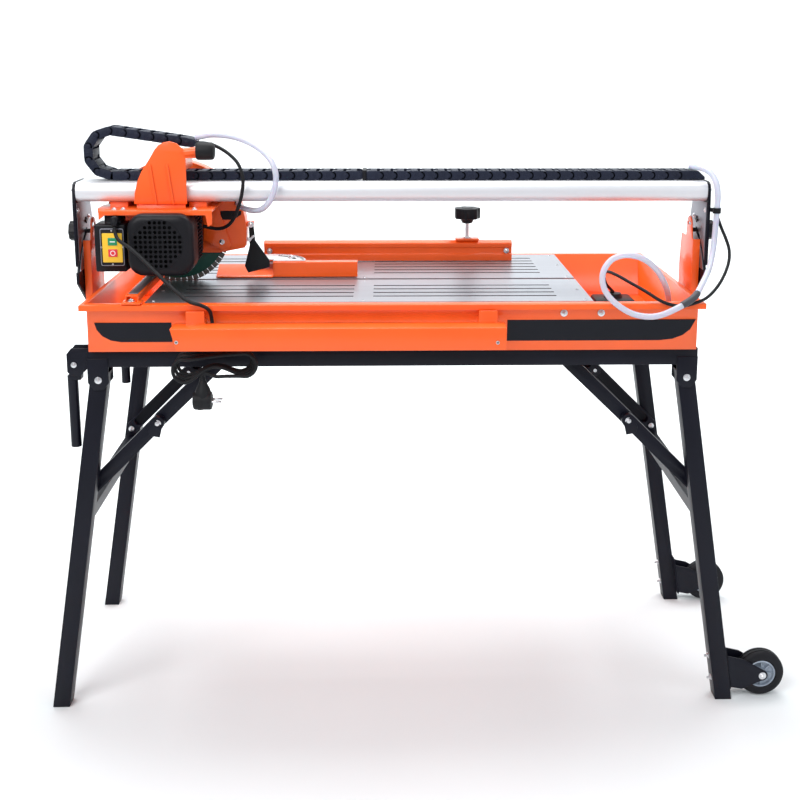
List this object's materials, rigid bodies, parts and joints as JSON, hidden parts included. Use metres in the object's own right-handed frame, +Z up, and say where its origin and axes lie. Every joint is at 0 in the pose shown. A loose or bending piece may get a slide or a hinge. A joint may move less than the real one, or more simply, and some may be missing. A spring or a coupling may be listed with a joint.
{
  "type": "rail tile cutter",
  "caption": "Wet tile cutter: a motor and diamond blade ride along a tilting aluminium rail over a slotted table in a water tray, on a folding wheeled stand",
  "frame": {"origin": "on the floor, at the middle of the footprint of the whole machine", "axes": "+X along the rail to the wheeled end, +Y from the operator to the back, +Z up"},
  "size_m": [1.5684, 0.6359, 1.219],
  "materials": {
    "stand_paint": "semi-gloss blue-black powder coat",
    "orange_paint": "glossy orange powder coat",
    "table_metal": "satin ribbed aluminium",
    "rail_metal": "satin anodised aluminium",
    "plate_metal": "dark painted outside, bare inside",
    "bright_steel": "bright plated steel",
    "blade_steel": "green painted core with a bright segmented rim",
    "motor_paint": "matte black paint on cast aluminium",
    "black_plastic": "matte black moulded plastic",
    "black_rubber": "soft black rubber",
    "clear_hose": "milky clear water hose",
    "wheel_rubber": "black solid tyre on a light grey hub",
    "green_button": "green moulded plastic",
    "red_button": "red moulded plastic"
  },
  "bodies": {
    "root": {"front_beam": "stand_paint", "back_beam": "stand_paint", "left_cross_beam": "stand_paint", "right_cross_beam": "stand_paint", "tray": "orange_paint", "table_front_plate": "table_metal", "table_back_plate": "table_metal", "left_post": "orange_paint", "right_post": "orange_paint", "back_guide_rail": "orange_paint", "left_end_guide": "orange_paint", "pump": "black_plastic", "mains_lead_lower": "black_rubber", "mains_hank": "black_rubber", "mains_plug": "black_rubber", "feed_hose": "clear_hose", "pump_cable": "black_rubber"},
    "bridge": {"guide_rail": "rail_metal", "left_end_plate": "plate_metal", "right_end_plate": "plate_metal", "chain_lower_run": "black_plastic", "chain_fixed_run": "black_plastic"},
    "carriage": {"carriage_plate": "orange_paint", "carriage_bracket": "orange_paint", "hand_grip": "black_plastic", "motor_body": "motor_paint", "fan_cover": "black_plastic", "blade_guard": "orange_paint", "switch_box": "black_plastic", "chain_upper_run": "black_plastic", "motor_cable": "black_rubber", "blade_hose": "clear_hose", "mains_lead_upper": "black_rubber"},
    "chain_loop": {"chain_loop": "black_plastic"},
    "blade": {"blade": "blade_steel", "blade_flange": "bright_steel"},
    "start_button": {"start_button": "green_button"},
    "stop_button": {"stop_button": "red_button"},
    "splash_flap": {"splash_flap": "black_rubber"},
    "left_lock_knob": {"left_lock_knob": "black_plastic"},
    "right_lock_knob": {"right_lock_knob": "black_plastic"},
    "guide_stop": {"guide_stop": "orange_paint"},
    "guide_stop_knob": {"guide_stop_knob": "black_plastic"},
    "mitre_fence": {"mitre_fence": "orange_paint", "protractor": "bright_steel"},
    "side_table": {"side_table": "orange_paint"},
    "left_legs": {"left_leg_frame": "stand_paint"},
    "right_legs": {"right_leg_frame": "stand_paint"},
    "left_upper_braces": {"left_front_upper_brace": "stand_paint", "left_back_upper_brace": "stand_paint"},
    "left_lower_braces": {"left_front_lower_brace": "stand_paint", "left_back_lower_brace": "stand_paint"},
    "right_upper_braces": {"right_front_upper_brace": "stand_paint", "right_back_upper_brace": "stand_paint"},
    "right_lower_braces": {"right_front_lower_brace": "stand_paint", "right_back_lower_brace": "stand_paint"},
    "front_wheel": {"front_wheel": "wheel_rubber"},
    "front_handle": {"front_handle": "stand_paint"},
    "back_wheel": {"back_wheel": "wheel_rubber"},
    "back_handle": {"back_handle": "stand_paint"}
  },
  "joints": [
    {"name": "bridge_tilt", "type": "hinge", "parent": "root", "child": "bridge", "pos_m": [-0.0578, -0.008, 0.885], "axis": [-1, 0, 0], "range_deg": [0, 45], "deforming": ["mains_lead_upper", "feed_hose", "pump_cable"]},
    {"name": "carriage_slide", "type": "slide", "parent": "bridge", "child": "carriage", "axis": [1, 0, 0], "range_m": [0, 0.8], "deforming": ["chain_lower_run", "chain_upper_run", "mains_lead_upper"]},
    {"name": "chain_travel", "type": "slide", "parent": "carriage", "child": "chain_loop", "axis": [-1, 0, 0], "range_m": [0, 0.4]},
    {"name": "blade_spin", "type": "hinge", "parent": "carriage", "child": "blade", "pos_m": [-0.5218, -0.008, 0.994], "axis": [0, 1, 0], "continuous": true},
    {"name": "start_button_press", "type": "slide", "parent": "carriage", "child": "start_button", "axis": [0, 1, 0], "range_m": [0, 0.003], "stiffness_N_per_m": 600, "springref_m": -0.001},
    {"name": "stop_button_press", "type": "slide", "parent": "carriage", "child": "stop_button", "axis": [0, 1, 0], "range_m": [0, 0.003], "stiffness_N_per_m": 600, "springref_m": -0.001},
    {"name": "splash_flap_swing", "type": "hinge", "parent": "carriage", "child": "splash_flap", "pos_m": [-0.3628, -0.008, 1.006], "axis": [0, -1, 0], "range_deg": [0, 60]},
    {"name": "left_lock_knob_turn", "type": "hinge", "parent": "root", "child": "left_lock_knob", "pos_m": [-0.7138, -0.06, 1], "axis": [-1, 0, 0], "range_deg": [0, 270]},
    {"name": "right_lock_knob_turn", "type": "hinge", "parent": "root", "child": "right_lock_knob", "pos_m": [0.5982, -0.06, 1], "axis": [1, 0, 0], "range_deg": [0, 270]},
    {"name": "guide_stop_slide", "type": "slide", "parent": "root", "child": "guide_stop", "axis": [1, 0, 0], "range_m": [-0.42, 0.07]},
    {"name": "guide_stop_knob_turn", "type": "hinge", "parent": "guide_stop", "child": "guide_stop_knob", "pos_m": [0.1177, 0.211, 0.975], "axis": [0, 0, 1], "range_deg": [0, 270]},
    {"name": "mitre_fence_turn", "type": "hinge", "parent": "root", "child": "mitre_fence", "pos_m": [-0.3248, 0.027, 0.885], "axis": [0, 0, -1], "range_deg": [0, 45]},
    {"name": "side_table_lift", "type": "slide", "parent": "root", "child": "side_table", "axis": [0, 0, 1], "range_m": [0, 0.009]},
    {"name": "left_legs_fold", "type": "hinge", "parent": "root", "child": "left_legs", "pos_m": [-0.6508, 0.027, 0.722], "axis": [0, -1, 0], "range_deg": [0, 99]},
    {"name": "left_upper_braces_fold", "type": "hinge", "parent": "root", "child": "left_upper_braces", "pos_m": [-0.4048, 0.027, 0.754], "axis": [0, -1, 0], "range_deg": [-45.5, 0]},
    {"name": "left_lower_braces_fold", "type": "hinge", "parent": "left_legs", "child": "left_lower_braces", "pos_m": [-0.69081, 0.027, 0.47218], "axis": [0, -1, 0], "range_deg": [0, 36.5]},
    {"name": "right_legs_fold", "type": "hinge", "parent": "root", "child": "right_legs", "pos_m": [0.5352, 0.027, 0.722], "axis": [0, 1, 0], "range_deg": [0, 93]},
    {"name": "right_upper_braces_fold", "type": "hinge", "parent": "root", "child": "right_upper_braces", "pos_m": [0.2892, 0.027, 0.754], "axis": [0, 1, 0], "range_deg": [-45.5, 0]},
    {"name": "right_lower_braces_fold", "type": "hinge", "parent": "right_legs", "child": "right_lower_braces", "pos_m": [0.57521, 0.027, 0.47218], "axis": [0, 1, 0], "range_deg": [0, 36.5]},
    {"name": "front_wheel_spin", "type": "hinge", "parent": "right_legs", "child": "front_wheel", "pos_m": [0.7342, -0.193, 0.052], "axis": [0, 1, 0], "continuous": true},
    {"name": "back_wheel_spin", "type": "hinge", "parent": "right_legs", "child": "back_wheel", "pos_m": [0.7342, 0.247, 0.052], "axis": [0, 1, 0], "continuous": true},
    {"name": "front_handle_swing", "type": "hinge", "parent": "root", "child": "front_handle", "pos_m": [-0.6988, -0.2015, 0.753], "axis": [0, 1, 0], "range_deg": [0, 90]},
    {"name": "back_handle_swing", "type": "hinge", "parent": "root", "child": "back_handle", "pos_m": [-0.6988, 0.2555, 0.753], "axis": [0, 1, 0], "range_deg": [0, 90]}
  ],
  "couplings": [
    {"joint": "chain_travel", "follows": "carriage_slide", "ratio": 0.5},
    {"joint": "left_upper_braces_fold", "follows": "left_legs_fold", "ratio": -0.454},
    {"joint": "left_lower_braces_fold", "follows": "left_legs_fold", "ratio": 0.362},
    {"joint": "right_upper_braces_fold", "follows": "right_legs_fold", "ratio": -0.454},
    {"joint": "right_lower_braces_fold", "follows": "right_legs_fold", "ratio": 0.362}
  ]
}
